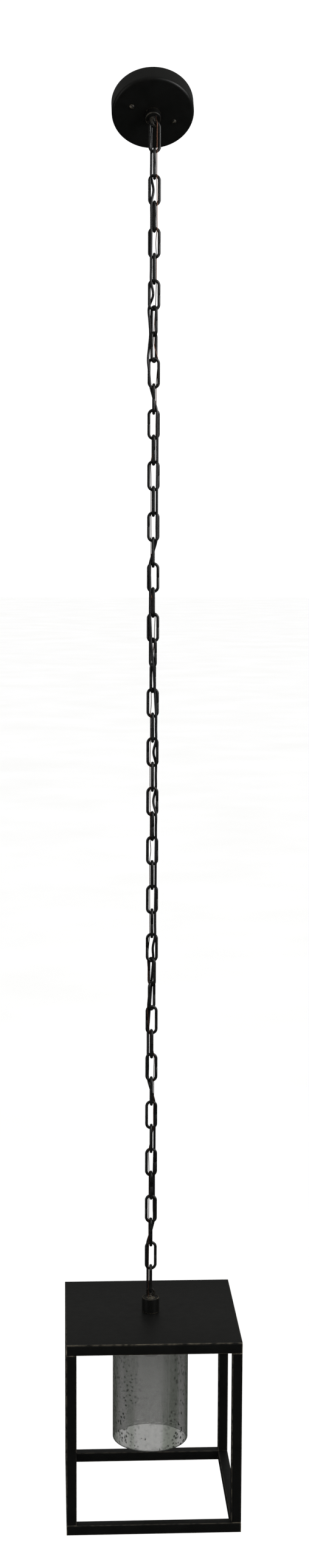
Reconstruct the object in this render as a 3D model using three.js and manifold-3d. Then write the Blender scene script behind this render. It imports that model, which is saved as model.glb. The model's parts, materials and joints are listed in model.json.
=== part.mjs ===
// Hanging lantern: a round ceiling canopy, a long loose-link chain with the supply cord and the
// ground wire woven through it, and an open cube frame of square tube that holds a straight
// smoked-glass cylinder. Millimetres, +Z up, origin at the centre of the canopy's back.
import * as THREE from 'three';
import { mergeVertices } from 'three/addons/utils/BufferGeometryUtils.js';
import Module from 'manifold-3d';

const wasm = await Module();
wasm.setup();

// ---- driving dimensions ------------------------------------------------------------------------
const GAP = 0.3;                     // clearance between touching pieces

const CANOPY_DIAMETER = 125;
const CANOPY_DEPTH = 29;
const CANOPY_EDGE = 5;               // radius of the rounded front edge
const CANOPY_WALL = 1.4;
const CANOPY_TILT = -45;             // degrees about X, so the face looks forward and down
const SCREW_SPACING = 69;            // between the two canopy screws
const SCREW_TURN = -21;              // degrees from X to the line through the screws
const STRAP = { length: 112, width: 20, thick: 2 };
const HUB = { diameter: 24, height: 12 };
const STEM_LENGTH = 4.2;             // of both loops, below their seat

const LINK = { length: 48, width: 19.6, wire: 2.35, count: 47 };   // wire is a radius
const LINK_OVERLAP = 0.4;            // how far links of one run sink into each other
const RUN_STARTS = [1, 6, 12, 19, 25, 32, 38, 43];                 // first link of each chain run
const TURN_AFTER = [7, 20, 33];      // links after which the chain turns by a quarter
const RING = { radius: 5.9, wire: 2.0 };                           // the eye of both loops
const CANOPY_RING_TURN = 58;         // degrees from X to the canopy eye's plane
const LANTERN_RING_TURN = -20;       // the same for the lantern's eye

const CORD = { radius: 2.0, side: 5.1, through: 1.6, woven: [3, 7, 11, 17, 25, 27, 33, 39, 45] };
const WIRE = { radius: 0.6, side: 3.6, through: 2.2, woven: [5, 9, 13, 19, 23, 29, 37, 41] };
const JOINT_CLEAR = 3;               // a strand stops this far above and below a moving joint
const TWIST_AT = 19;                 // first link of the run that twists about the chain
const TWIST_CLEAR = 9.5;             // room below that joint for the twist

const LANTERN_WIDTH = 275;
const LANTERN_HEIGHT = 312;
const TUBE = 16;
const TUBE_WALL = 1.2;
const PLATE = 1.5;
const COLLAR = { diameter: 28, height: 24 };
const NIPPLE = { outer: 5, bore: 3.6 };                            // radii
const GLASS = { diameter: 122, wall: 3.5, bottom: 100, top: 277, top_wall: 4, hole: 40.6 };
const SOCKET = { radius: 19, bore: 14.4, bottom: 243, top: 296, shoulder: 24 };

const LINK_PITCH = LINK.length - 4 * LINK.wire;
const EYE_RISE = 0.9;                // how far the small eye curves up under a link's thick wire
const WIRE_TO_WIRE = RING.wire + LINK.wire + EYE_RISE + GAP;       // a link's wire on an eye's wire
const RING_HEIGHT = RING.radius + RING.wire + GAP;                 // eye centre above its seat
const rad = THREE.MathUtils.degToRad;

// ---- finishes ----------------------------------------------------------------------------------
const finish = (color, roughness, metalness, extra = {}) =>
  new THREE.MeshStandardMaterial({ color, roughness, metalness, ...extra });
const blackPaint = finish(0x141513, 0.45, 0.2);
const blackChain = finish(0x0c0d0b, 0.4, 0.3);
const zinc = finish(0x9a9c9a, 0.4, 0.9);
const brass = finish(0xb08d4a, 0.35, 1.0);
const greenZinc = finish(0x2f6b3c, 0.45, 0.5);
const phenolic = finish(0x161412, 0.5, 0.0);
const cordJacket = finish(0x17171a, 0.3, 0.0);
const copper = finish(0x9a6a4c, 0.4, 0.9);
const smokedGlass = finish(0x6f726c, 0.08, 0.0, { transparent: true, opacity: 0.5 });

// ---- geometry helpers --------------------------------------------------------------------------
// A closed three.js geometry as a solid, with its faces turned outward.
function solid(source) {
  const bare = new THREE.BufferGeometry();
  bare.setAttribute('position', source.getAttribute('position').clone());
  if (source.index) bare.setIndex(source.index.clone());
  const merged = mergeVertices(bare, 1e-4);
  const vertProperties = new Float32Array(merged.getAttribute('position').array);
  const triVerts = new Uint32Array(merged.index.array);
  const kept = [];
  for (let i = 0; i < triVerts.length; i += 3) {
    const [a, b, c] = triVerts.subarray(i, i + 3);
    if (a !== b && b !== c && a !== c) kept.push(a, b, c);
  }
  if (signedVolume(vertProperties, kept) < 0) {
    for (let i = 0; i < kept.length; i += 3) [kept[i], kept[i + 1]] = [kept[i + 1], kept[i]];
  }
  return new wasm.Manifold(new wasm.Mesh({ numProp: 3, vertProperties, triVerts: new Uint32Array(kept) }));
}

function signedVolume(points, triangles) {
  const corner = (i) => new THREE.Vector3().fromArray(points, 3 * triangles[i]);
  let volume = 0;
  for (let i = 0; i < triangles.length; i += 3) {
    volume += corner(i).dot(corner(i + 1).cross(corner(i + 2)));
  }
  return volume;
}

function geometryOf(shape) {
  const mesh = shape.getMesh();
  const geometry = new THREE.BufferGeometry();
  geometry.setAttribute('position', new THREE.BufferAttribute(new Float32Array(mesh.vertProperties), 3));
  geometry.setIndex(new THREE.BufferAttribute(new Uint32Array(mesh.triVerts), 1));
  return geometry;
}

function piece(parent, name, shape, material) {
  const mesh = new THREE.Mesh(geometryOf(shape), material);
  mesh.name = name;
  parent.add(mesh);
  return mesh;
}

// A box between two opposite corners.
function block([x0, y0, z0], [x1, y1, z1]) {
  const box = new THREE.BoxGeometry(x1 - x0, y1 - y0, z1 - z0);
  return solid(box.translate((x0 + x1) / 2, (y0 + y1) / 2, (z0 + z1) / 2));
}

// A rod along Z between two heights; six sides make it a hexagon.
function rod(radius, z0, z1, x = 0, y = 0, sides = 20) {
  const cylinder = new THREE.CylinderGeometry(radius, radius, Math.abs(z1 - z0), sides);
  return solid(cylinder.rotateX(Math.PI / 2).translate(x, y, (z0 + z1) / 2));
}

// A turned piece about Z from a closed outline of [radius, height] points.
function turned(outline, sides = 32) {
  const points = [...outline, outline[0]].map(([r, z]) => new THREE.Vector2(r, z));
  return solid(new THREE.LatheGeometry(points, sides).rotateX(Math.PI / 2));
}

// A closed wire loop in the XZ plane: a ring drawn out along Z to the given length.
function wireLoop(length, width, wire, sides, steps) {
  const radius = width / 2 - wire;
  const loop = new THREE.TorusGeometry(radius, wire, sides, steps).rotateZ(Math.PI / steps);
  const stretch = length / 2 - width / 2;
  const position = loop.getAttribute('position');
  for (let i = 0; i < position.count; i += 1) {
    position.setX(i, position.getX(i) / Math.cos(Math.PI / steps));
    position.setY(i, position.getY(i) + Math.sign(position.getY(i)) * stretch);
  }
  return loop.rotateX(Math.PI / 2);
}

// A round strand through the given points.
function strand(points, radius, sides, step) {
  const curve = new THREE.CatmullRomCurve3(points, false, 'centripetal');
  const section = new THREE.Shape();
  for (let k = 0; k < sides; k += 1) {
    const angle = 2 * Math.PI * (k + 0.5) / sides;
    const corner = [radius * Math.cos(angle), radius * Math.sin(angle)];
    if (k === 0) section.moveTo(...corner);
    else section.lineTo(...corner);
  }
  const steps = Math.max(2, Math.round(curve.getLength() / step));
  return solid(new THREE.ExtrudeGeometry(section, { extrudePath: curve, steps, bevelEnabled: false }));
}

const cordStrand = (points) => strand(points, CORD.radius, 6, 9.5);
const wireStrand = (points) => strand(points, WIRE.radius, 4, 12);

// A hollow threaded stub with room inside for the cord to move over to its side hole.
// It stands on z = 0; side and fine are the [x, y] places of the cord's and the wire's holes.
function collar({ diameter, height }, side, fine) {
  const outer = diameter / 2;
  const inner = outer - 2.6;
  const body = turned([
    [NIPPLE.outer + GAP, 0], [outer - 0.8, 0], [outer, 0.8], [outer, height - 0.8],
    [outer - 0.8, height], [3 + GAP, height], [3 + GAP, height - 3.4], [inner, height - 3.4],
    [inner, 3], [NIPPLE.outer + GAP, 3],
  ], 24);
  return body
    .subtract(rod(CORD.radius + 0.7, height - 6, height + 1, ...side, 12))
    .subtract(rod(WIRE.radius + 0.6, height - 6, height + 1, ...fine, 8));
}

// An eye ring on a threaded stem; z = 0 is the seat that the stem passes through.
function eyeLoop(turn) {
  const width = 2 * (RING.radius + RING.wire);
  const eye = wireLoop(width, width, RING.wire, 8, 18).translate(0, 0, RING_HEIGHT);
  const ring = solid(eye.rotateZ(rad(turn)));
  return ring.add(rod(3, -STEM_LENGTH, GAP + RING.wire, 0, 0, 12));
}

const hexNut = (z0, z1) => rod(8.6, z0, z1, 0, 0, 6).subtract(rod(NIPPLE.outer + GAP, z0 - 1, z1 + 1));
const pipe = (z0, z1) => rod(NIPPLE.outer, z0, z1).subtract(rod(NIPPLE.bore, z0 - 1, z1 + 1));

// A pan-head screw whose head sits below z, with its shank going up from there.
function panScrew(x, y, z, shank, headRadius, shankRadius) {
  const head = turned([
    [0, z], [headRadius, z], [headRadius, z - 1.1], [headRadius * 0.72, z - 2.2], [0, z - 2.6],
  ], 16).translate([x, y, 0]);
  const slot = block([x - headRadius, y - 0.45, z - 3], [x + headRadius, y + 0.45, z - 1.7]);
  return head.subtract(slot).add(rod(shankRadius, z - 0.5, z + shank, x, y, 10));
}

// ---- chain layout ------------------------------------------------------------------------------
const isRunStart = (i) => RUN_STARTS.includes(i);

// The turn of link i about the chain, in degrees from X: every second link stands across.
function linkTurn(i) {
  const quarterTurns = TURN_AFTER.map((s) => 30 * THREE.MathUtils.clamp(i - s, 0, 3));
  const slack = 5 * Math.sin(2.1 * i);
  return (i % 2 ? 0 : 90) + quarterTurns.reduce((a, b) => a + b, 0) + slack;
}

// Heights of the links' centres below the wire of the first link's top bend.
const linkCentre = [0];
let height = LINK.wire - LINK.length / 2;
for (let i = 1; i <= LINK.count; i += 1) {
  if (i > 1) height -= isRunStart(i) ? LINK_PITCH - GAP : LINK_PITCH + LINK_OVERLAP;
  linkCentre.push(height);
}
const topWire = (i) => linkCentre[i] + LINK.length / 2 - LINK.wire;
const chainEnd = linkCentre[LINK.count] - LINK.length / 2 + LINK.wire;   // last link's bottom wire

// The point that lies a given distance to one side of each of two upright planes.
function besidePlanes(turnA, sideA, turnB, sideB, z) {
  const [a, b] = [rad(turnA), rad(turnB)];
  const scale = 1 / Math.sin(b - a);
  const x = (sideA * Math.cos(b) - sideB * Math.cos(a)) * scale;
  const y = (sideA * Math.sin(b) - sideB * Math.sin(a)) * scale;
  return new THREE.Vector3(x, y, z);
}

// Where a strand runs: beside the links, changing sides through each woven link.
function strandRoute({ side, through, woven }, acrossSide, firstSide) {
  const turn = (i) => (i > LINK.count ? LANTERN_RING_TURN + 360 : linkTurn(i));
  const sides = [];
  let facing = firstSide;
  for (let i = 1; i <= LINK.count + 1; i += 1) {
    const above = i % 2 ? facing : acrossSide;
    if (woven.includes(i)) facing = -facing;
    sides[i] = { above, below: i % 2 ? facing : acrossSide };
  }
  const junction = [];
  for (let i = 1; i <= LINK.count; i += 1) {
    const z = linkCentre[i] - LINK.length / 2 + 2 * LINK.wire;
    junction[i] = besidePlanes(turn(i), side * sides[i].below, turn(i + 1), side * sides[i + 1].above, z);
  }
  junction[0] = besidePlanes(turn(1), side * sides[1].above, turn(2), side * sides[2].above, topWire(1));
  const middle = [];
  for (let i = 1; i <= LINK.count; i += 1) {
    const mean = junction[i - 1].clone().add(junction[i]).multiplyScalar(0.5).setZ(linkCentre[i]);
    if (woven.includes(i)) {
      const along = new THREE.Vector3(Math.cos(rad(turn(i))), Math.sin(rad(turn(i))), 0);
      along.multiplyScalar(through * Math.sign(mean.dot(along)));
      mean.set(along.x, along.y, linkCentre[i]);
    }
    middle[i] = mean;
  }
  return { junction, middle };
}

// The stretch of a strand that belongs to one run of links.
function runPoints({ junction, middle }, first, last) {
  const clear = first === TWIST_AT ? TWIST_CLEAR : JOINT_CLEAR;
  const points = [junction[first - 1].clone().setZ(topWire(first) - clear)];
  for (let i = first; i <= last; i += 1) {
    points.push(middle[i]);
    if (i < last) points.push(junction[i]);
  }
  const joint = last < LINK.count ? topWire(last + 1) : chainEnd + WIRE_TO_WIRE;
  points.push(junction[last].clone().setZ(joint + JOINT_CLEAR));
  return points;
}

// ---- canopy: built in its own frame, back at z = 0 and face looking down -------------------------
const object = new THREE.Group();
const canopy = new THREE.Group();
canopy.rotation.x = rad(CANOPY_TILT);
object.add(canopy);

const face = -CANOPY_DEPTH;
const canopyRadius = CANOPY_DIAMETER / 2;
const screwAt = (d) => [d * Math.cos(rad(SCREW_TURN)), -d * Math.sin(rad(SCREW_TURN))];
const inCanopy = (shape) => shape.rotate([0, 0, -SCREW_TURN]);

const edgeArc = (radius) => [0, 1, 2, 3].map((k) => {
  const angle = rad(30 * k);
  const centre = canopyRadius - CANOPY_EDGE;
  return [centre + radius * Math.cos(angle), face + CANOPY_EDGE - radius * Math.sin(angle)];
});
let shell = turned([
  [canopyRadius, 0], ...edgeArc(CANOPY_EDGE), [NIPPLE.outer + GAP, face],
  [NIPPLE.outer + GAP, face + CANOPY_WALL], ...edgeArc(CANOPY_EDGE - CANOPY_WALL).reverse(),
  [canopyRadius - CANOPY_WALL, 0],
], 40);
for (const d of [-SCREW_SPACING / 2, SCREW_SPACING / 2]) {
  shell = shell.subtract(rod(2.5, face - 2, face + 4, ...screwAt(d), 12));
}
piece(canopy, 'canopy_shell', shell, blackPaint);

const strapBack = -GAP;
const strapFront = strapBack - STRAP.thick;
const strapEnd = [STRAP.length / 2, STRAP.width / 2];
let strap = block([-strapEnd[0], -strapEnd[1], strapFront], [...strapEnd, strapBack]);
strap = strap.subtract(rod(NIPPLE.outer + GAP, -5, 5));
for (const sign of [-1, 1]) {
  strap = strap.subtract(rod(2.3, -5, 5, sign * SCREW_SPACING / 2, 0, 12));
  const slot = block([42, -2.4, -5], [51, 2.4, 5]);
  strap = strap.subtract(sign > 0 ? slot : slot.mirror([1, 0, 0]));
}
const groundScrewAt = [19, 0];
strap = strap.subtract(rod(1.9, -5, 5, ...groundScrewAt, 10));
piece(canopy, 'mounting_strap', inCanopy(strap), zinc);
const groundScrew = panScrew(...groundScrewAt, strapFront - GAP, 2.3, 3.6, 1.6);
piece(canopy, 'ground_screw', inCanopy(groundScrew), greenZinc);
piece(canopy, 'canopy_nipple', pipe(face - 3, 0), zinc);
piece(canopy, 'canopy_locknut', hexNut(strapFront - 4.3, strapFront - GAP), zinc);
for (const [name, sign] of [['left', -1], ['right', 1]]) {
  const screw = panScrew(...screwAt(sign * SCREW_SPACING / 2), face - GAP, CANOPY_DEPTH, 4, 1.9);
  piece(canopy, `canopy_screw_${name}`, screw, blackPaint);
}

// The hub and eye stand on the face; in this frame they point down, so they are turned over.
const hangDown = (shape, z) => shape.rotate([180, 0, 0]).translate([0, 0, z]);
const canopyCordHole = [-4.95, 4.95];
const canopyWireHole = [3.9, -4.6];
const flip = ([x, y]) => [x, -y];
const hub = collar(HUB, flip(canopyCordHole), flip(canopyWireHole));
piece(canopy, 'canopy_hub', hangDown(hub, face - GAP), blackPaint);
const canopySeat = face - GAP - HUB.height;
piece(canopy, 'canopy_loop', hangDown(eyeLoop(-CANOPY_RING_TURN), canopySeat), blackPaint);

const cordCanopy = [[-0.9, 0, -6], [-0.9, 0, -20], [-0.9, 0, face - 2.2], [-2.6, 2.2, face - 5.6],
  [...canopyCordHole, face - 9.2], [...canopyCordHole, canopySeat - 1.2]];
const wireCanopy = [[2.5, 0, -6], [2.5, 0, -20], [2.5, 0, face - 3.5], [3.2, -2.3, face - 6],
  [...canopyWireHole, face - 9], [...canopyWireHole, canopySeat - 1.2]];
const vectors = (list) => list.map((p) => new THREE.Vector3(...p));
piece(canopy, 'cord_canopy', strand(vectors(cordCanopy), CORD.radius, 8, 3.4), cordJacket);
piece(canopy, 'ground_wire_canopy', strand(vectors(wireCanopy), WIRE.radius, 4, 3), copper);

// ---- chain: hangs plumb from the canopy's eye ---------------------------------------------------
const canopyEye = new THREE.Vector3(0, 0, canopySeat - RING_HEIGHT).applyEuler(canopy.rotation);
const across = new THREE.Vector3(-Math.sin(rad(CANOPY_RING_TURN)), Math.cos(rad(CANOPY_RING_TURN)), 0);
across.applyEuler(canopy.rotation);
const lowestOnEye = new THREE.Vector3(0, 0, -1).projectOnPlane(across).setLength(RING.radius);
const chain = new THREE.Group();
chain.position.copy(canopyEye).add(lowestOnEye);
chain.position.z += WIRE_TO_WIRE;
object.add(chain);

const cordRoute = strandRoute(CORD, 1, 1);
const wireRoute = strandRoute(WIRE, -1, -1);
const twoDigits = (i) => String(i).padStart(2, '0');

RUN_STARTS.forEach((first, k) => {
  const last = k + 1 < RUN_STARTS.length ? RUN_STARTS[k + 1] - 1 : LINK.count;
  let run = null;
  for (let i = first; i <= last; i += 1) {
    const loop = wireLoop(LINK.length, LINK.width, LINK.wire, 6, 10).rotateZ(rad(linkTurn(i)));
    const link = solid(loop.translate(0, 0, linkCentre[i]));
    run = run ? run.add(link) : link;
  }
  piece(chain, `chain_links_${twoDigits(first)}_${twoDigits(last)}`, run, blackChain);
  piece(chain, `cord_run_${k + 1}`, cordStrand(runPoints(cordRoute, first, last)), cordJacket);
  piece(chain, `ground_wire_run_${k + 1}`, wireStrand(runPoints(wireRoute, first, last)), copper);
});

// ---- lantern: built in its own frame, bottom of the frame at z = 0 -------------------------------
const lantern = new THREE.Group();
const lanternEye = LANTERN_HEIGHT + GAP + COLLAR.height + RING_HEIGHT;
lantern.position.copy(chain.position);
lantern.position.z += chainEnd + WIRE_TO_WIRE - RING.radius - lanternEye;
object.add(lantern);

const lanternSeat = LANTERN_HEIGHT + GAP + COLLAR.height;
const cordHole = cordRoute.junction[LINK.count].toArray().slice(0, 2);
const wireHole = wireRoute.junction[LINK.count].toArray().slice(0, 2);
piece(lantern, 'lantern_loop', eyeLoop(LANTERN_RING_TURN).translate([0, 0, lanternSeat]), blackPaint);
const collarBody = collar(COLLAR, cordHole, wireHole).translate([0, 0, LANTERN_HEIGHT + GAP]);
piece(lantern, 'loop_collar', collarBody, blackPaint);

const half = LANTERN_WIDTH / 2;
const plateBottom = LANTERN_HEIGHT - PLATE;
const plate = block([-half, -half, plateBottom], [half, half, LANTERN_HEIGHT]);
const plateHole = rod(NIPPLE.outer + GAP, plateBottom - 1, LANTERN_HEIGHT + 1);
piece(lantern, 'top_plate', plate.subtract(plateHole), blackPaint);

// A rail of square tube along the front edge with mitred ends, its underside at z.
function rail(z) {
  const outline = new THREE.Shape([[-half, 0], [half, 0], [half - TUBE, TUBE], [-half + TUBE, TUBE]]
    .map(([x, y]) => new THREE.Vector2(x + Math.sign(-x) * GAP * (1 + Math.SQRT2) / 2, y)));
  const bar = solid(new THREE.ExtrudeGeometry(outline, { depth: TUBE, bevelEnabled: false }));
  const hollow = block([-half - 1, TUBE_WALL, TUBE_WALL], [half + 1, TUBE - TUBE_WALL, TUBE - TUBE_WALL]);
  return bar.subtract(hollow).translate([0, -half, z]);
}
const SIDES = [['front', 0], ['right', 90], ['back', 180], ['left', 270]];
for (const [name, turn] of SIDES) {
  piece(lantern, `top_rail_${name}`, rail(plateBottom - GAP - TUBE).rotate([0, 0, turn]), blackPaint);
  piece(lantern, `bottom_rail_${name}`, rail(0).rotate([0, 0, turn]), blackPaint);
}
const postFoot = TUBE + GAP;
const postTop = plateBottom - 2 * GAP - TUBE;
const postBody = block([-half, -half, postFoot], [-half + TUBE, -half + TUBE, postTop])
  .subtract(block([-half + TUBE_WALL, -half + TUBE_WALL, 0],
    [-half + TUBE - TUBE_WALL, -half + TUBE - TUBE_WALL, LANTERN_HEIGHT]));
const CORNERS = [['front_left', 0], ['front_right', 90], ['back_right', 180], ['back_left', 270]];
for (const [name, turn] of CORNERS) {
  piece(lantern, `post_${name}`, postBody.rotate([0, 0, turn]), blackPaint);
}

// Lamp holder and glass, stacked on the threaded nipple under the plate.
const capTop = 304;
piece(lantern, 'stem_nipple', pipe(capTop - 4, LANTERN_HEIGHT + GAP + 3), zinc);
piece(lantern, 'stem_locknut', hexNut(plateBottom - 4.3, plateBottom - GAP), zinc);
const capBottom = GLASS.top + GAP + 3 + GAP;
piece(lantern, 'socket_cap', turned([
  [NIPPLE.outer + GAP, capTop], [22, capTop], [26, capTop - 4], [26, capBottom],
  [24.8, capBottom], [24.8, capTop - 4.4], [21.4, capTop - 1.2], [NIPPLE.outer + GAP, capTop - 1.2],
], 32), blackPaint);
const shoulder = GLASS.top + GAP;
const socketBody = turned([
  [4.5, SOCKET.top], [SOCKET.radius - 2, SOCKET.top], [SOCKET.radius, SOCKET.top - 2],
  [SOCKET.radius, shoulder + 3], [SOCKET.shoulder, shoulder + 3], [SOCKET.shoulder, shoulder],
  [SOCKET.radius, shoulder], [SOCKET.radius, SOCKET.bottom], [SOCKET.bore, SOCKET.bottom],
  [SOCKET.bore, SOCKET.bottom + 34], [4.5, SOCKET.bottom + 34],
], 28);
piece(lantern, 'lamp_socket', socketBody, phenolic);
piece(lantern, 'socket_ring', turned([
  [SOCKET.radius + GAP, GLASS.top - GLASS.top_wall - GAP], [27.5, GLASS.top - GLASS.top_wall - GAP],
  [27.5, GLASS.top - GLASS.top_wall - 4], [25, GLASS.top - GLASS.top_wall - 6.5],
  [SOCKET.radius + GAP, GLASS.top - GLASS.top_wall - 6.5],
], 28), phenolic);
const shellTop = SOCKET.bottom + 34 - GAP;
piece(lantern, 'screw_shell', turned([
  [SOCKET.bore - GAP, shellTop], [SOCKET.bore - GAP, SOCKET.bottom + 2],
  [SOCKET.bore - GAP - 0.7, SOCKET.bottom + 2], [SOCKET.bore - GAP - 0.7, shellTop - 0.7],
  [9, shellTop - 0.7], [9, shellTop],
], 28), brass);
piece(lantern, 'centre_contact', rod(6.4, shellTop - 1.6, shellTop, 0, 0, 16)
  .add(rod(2.6, shellTop - 5, shellTop - 1, 0, 0, 12)), brass);

const glassRadius = GLASS.diameter / 2;
const glassInner = glassRadius - GLASS.wall;
piece(lantern, 'glass_shade', turned([
  [GLASS.hole / 2, GLASS.top], [glassRadius - 6, GLASS.top], [glassRadius - 1.8, GLASS.top - 1.8],
  [glassRadius, GLASS.top - 6], [glassRadius, GLASS.bottom + 1], [glassRadius - 1, GLASS.bottom],
  [glassInner + 1, GLASS.bottom], [glassInner, GLASS.bottom + 1],
  [glassInner, GLASS.top - GLASS.top_wall - 3], [glassInner - 3, GLASS.top - GLASS.top_wall],
  [GLASS.hole / 2, GLASS.top - GLASS.top_wall],
], 40), smokedGlass);

const cordLantern = [[...cordHole, lanternSeat + 1.2], [...cordHole, lanternSeat - 5],
  [cordHole[0] * 0.5, cordHole[1] * 0.5, lanternSeat - 12], [-0.9, 0, lanternSeat - 21],
  [-0.9, 0, lanternSeat - 28], [-0.9, 0, capTop - 6]];
const wireLantern = [[...wireHole, lanternSeat + 1.2], [...wireHole, lanternSeat - 6],
  [2.5, 0, lanternSeat - 20], [2.5, 0, lanternSeat - 28], [2.5, 0, capTop - 6]];
piece(lantern, 'cord_lantern', strand(vectors(cordLantern), CORD.radius, 8, 3.4), cordJacket);
piece(lantern, 'ground_wire_lantern', strand(vectors(wireLantern), WIRE.radius, 4, 3), copper);

export default object;
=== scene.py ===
"""Hanging lantern: canopy, woven chain and cord, cube frame of square tube, smoked glass cylinder.

Metres, in the frame's own axes: the chain hangs plumb along Z and the viewer is on the -Y side.
"""
import json
import math
import random
from contextlib import contextmanager

import bmesh
import bpy
from bpy.props import FloatProperty, FloatVectorProperty, IntProperty, PointerProperty
from mathutils import Matrix, Vector


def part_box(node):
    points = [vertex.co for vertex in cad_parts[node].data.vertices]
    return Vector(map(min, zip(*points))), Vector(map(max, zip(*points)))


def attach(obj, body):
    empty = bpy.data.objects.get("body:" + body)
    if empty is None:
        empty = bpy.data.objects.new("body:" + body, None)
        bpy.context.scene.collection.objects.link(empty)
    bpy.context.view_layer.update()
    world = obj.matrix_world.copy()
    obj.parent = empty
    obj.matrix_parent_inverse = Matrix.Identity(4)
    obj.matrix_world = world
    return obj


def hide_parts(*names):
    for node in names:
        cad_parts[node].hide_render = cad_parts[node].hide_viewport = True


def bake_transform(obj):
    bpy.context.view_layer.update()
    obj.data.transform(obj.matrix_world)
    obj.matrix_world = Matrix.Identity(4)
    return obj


bl_info = {
    "name": "Hanging Lantern",
    "version": (1, 0, 0),
    "blender": (4, 5, 0),
    "location": "View3D > Sidebar > Lantern",
    "description": "Builds the looks of a chain-hung cube lantern round its packed frame",
    "category": "Object",
}

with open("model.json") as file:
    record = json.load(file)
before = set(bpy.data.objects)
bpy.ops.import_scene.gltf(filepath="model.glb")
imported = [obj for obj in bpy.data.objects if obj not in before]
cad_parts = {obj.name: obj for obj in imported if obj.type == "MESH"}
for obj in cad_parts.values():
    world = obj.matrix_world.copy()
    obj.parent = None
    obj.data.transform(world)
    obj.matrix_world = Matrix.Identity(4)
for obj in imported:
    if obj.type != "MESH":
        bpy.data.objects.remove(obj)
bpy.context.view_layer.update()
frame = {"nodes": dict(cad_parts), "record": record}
MM = 0.001


# ---- places taken from the frame ---------------------------------------------------------------
def node_box(node):
    """The lowest and highest corners of a frame node, as vectors."""
    low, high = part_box(node)
    return Vector(low), Vector(high)


def record_item(items, name):
    """The entry of that name in one of the record's lists."""
    return next(item for item in items if item["name"] == name)


JOINTS = frame["record"]["behaviour"]["joints"]
CEILING_NORMAL = Vector(record_item(frame["record"]["mounts"], "ceiling_box")["axis"])
CANOPY_PLACE = Matrix.Rotation(-math.atan2(CEILING_NORMAL.y, CEILING_NORMAL.z), 4, "X")

PLATE_LOW, PLATE_HIGH = node_box("top_plate")
FRAME_FLOOR = node_box("bottom_rail_front")[0].z
LANTERN_ORIGIN = Vector((
    (PLATE_LOW.x + PLATE_HIGH.x) / 2, (PLATE_LOW.y + PLATE_HIGH.y) / 2, FRAME_FLOOR,
))
LANTERN_PLACE = Matrix.Translation(LANTERN_ORIGIN)
HALF_WIDTH = (PLATE_HIGH.x - PLATE_LOW.x) / 2
FRAME_TOP = PLATE_HIGH.z - FRAME_FLOOR
TUBE = node_box("bottom_rail_front")[1].z - FRAME_FLOOR
RAIL_TOP = node_box("top_rail_front")[0].z - FRAME_FLOOR
PLATE_UNDER = PLATE_LOW.z - FRAME_FLOOR

# ---- the chain's own dimensions ----------------------------------------------------------------
LINK_LENGTH = 48 * MM
LINK_WIDTH = 19.6 * MM
LINK_WIRE = 2.35 * MM
LINK_COUNT = 47
LINK_SINK = 0.4 * MM                 # how far links of one run sit into each other
LINK_SLACK = 0.06 * MM               # how much thinner the wire is drawn, so twisted links clear
SEAM_REACH = 0.45 * MM               # half the width of a link's butt seam
GAP = 0.3 * MM                       # between pieces that move or that only rest on each other
RUN_STARTS = (1, 6, 12, 19, 25, 32, 38, 43)
TURN_AFTER = (7, 20, 33)             # links after which the chain turns by a quarter
TURN_LINKS = 3                       # links that share each quarter turn
LINK_SWAY = 5                        # degrees that links hang off square
EYE_RADIUS = 5.9 * MM
EYE_WIRE = 2.0 * MM
EYE_HEIGHT = 8.2 * MM                # eye centre above its seat
CANOPY_EYE_TURN = 58                 # degrees
LANTERN_EYE_TURN = -20
CORD_WOVEN = (3, 7, 11, 17, 25, 27, 33, 39, 45)          # links that the strand passes through
GROUND_WOVEN = (5, 9, 13, 19, 23, 29, 37, 41)
STRAND_END = 298 * MM                # where both strands end, above the lantern's underside

# ---- places on the canopy and the lantern ------------------------------------------------------
CANOPY_FACE = -29 * MM
HUB_HEIGHT = 12 * MM
CANOPY_SEAT = CANOPY_FACE - HUB_HEIGHT - GAP             # where the canopy's eye stands
SCREW_TURN = 21                      # degrees from X to the line through the face screws
SCREW_REACH = 34.5 * MM              # from the canopy's middle to a face screw
COLLAR_HEIGHT = 24 * MM
DISH_DEPTH = 1.4 * MM                # of the hollow in the collar's top
LANTERN_SEAT = FRAME_TOP + COLLAR_HEIGHT + GAP           # where the lantern's eye stands
GLASS_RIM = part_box("glass_shade")[0][2]


def link_turn(i):
    """The turn of a link about the chain, in radians from X."""
    quarters = sum(90 / TURN_LINKS * min(TURN_LINKS, max(0, i - s)) for s in TURN_AFTER)
    return math.radians((0 if i % 2 else 90) + quarters + LINK_SWAY * math.sin(2.1 * i))


def z_turn(degrees):
    """A turn about Z."""
    return Matrix.Rotation(math.radians(degrees), 4, "Z")


def link_centres():
    """Heights of the links' centres below the wire of the first link's top bend."""
    pitch = LINK_LENGTH - 4 * LINK_WIRE
    heights = [0.0, LINK_WIRE - LINK_LENGTH / 2]
    for i in range(2, LINK_COUNT + 1):
        heights.append(heights[-1] - (pitch - GAP if i in RUN_STARTS else pitch + LINK_SINK))
    return heights


LINK_CENTRE = link_centres()


def top_wire(i):
    """Height of the wire in a link's top bend; past the last link, of the lantern's eye."""
    if i > LINK_COUNT:
        return JOINT_HEIGHT[LINK_COUNT + 1]
    return LINK_CENTRE[i] + LINK_LENGTH / 2 - LINK_WIRE


FIRST_BEND = Vector(record_item(JOINTS, "chain_bend_1")["pos_m"])
CHAIN_ORIGIN = FIRST_BEND - Vector((0, 0, top_wire(RUN_STARTS[1])))
SWING = Vector(record_item(JOINTS, "lantern_swing")["pos_m"])
JOINT_HEIGHT = {LINK_COUNT + 1: SWING.z - CHAIN_ORIGIN.z}


# ---- settings in the sidebar -------------------------------------------------------------------
def colour_setting(name, description, default):
    return FloatVectorProperty(
        name=name, description=description, default=default, subtype="COLOR", size=3, min=0, max=1)


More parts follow.
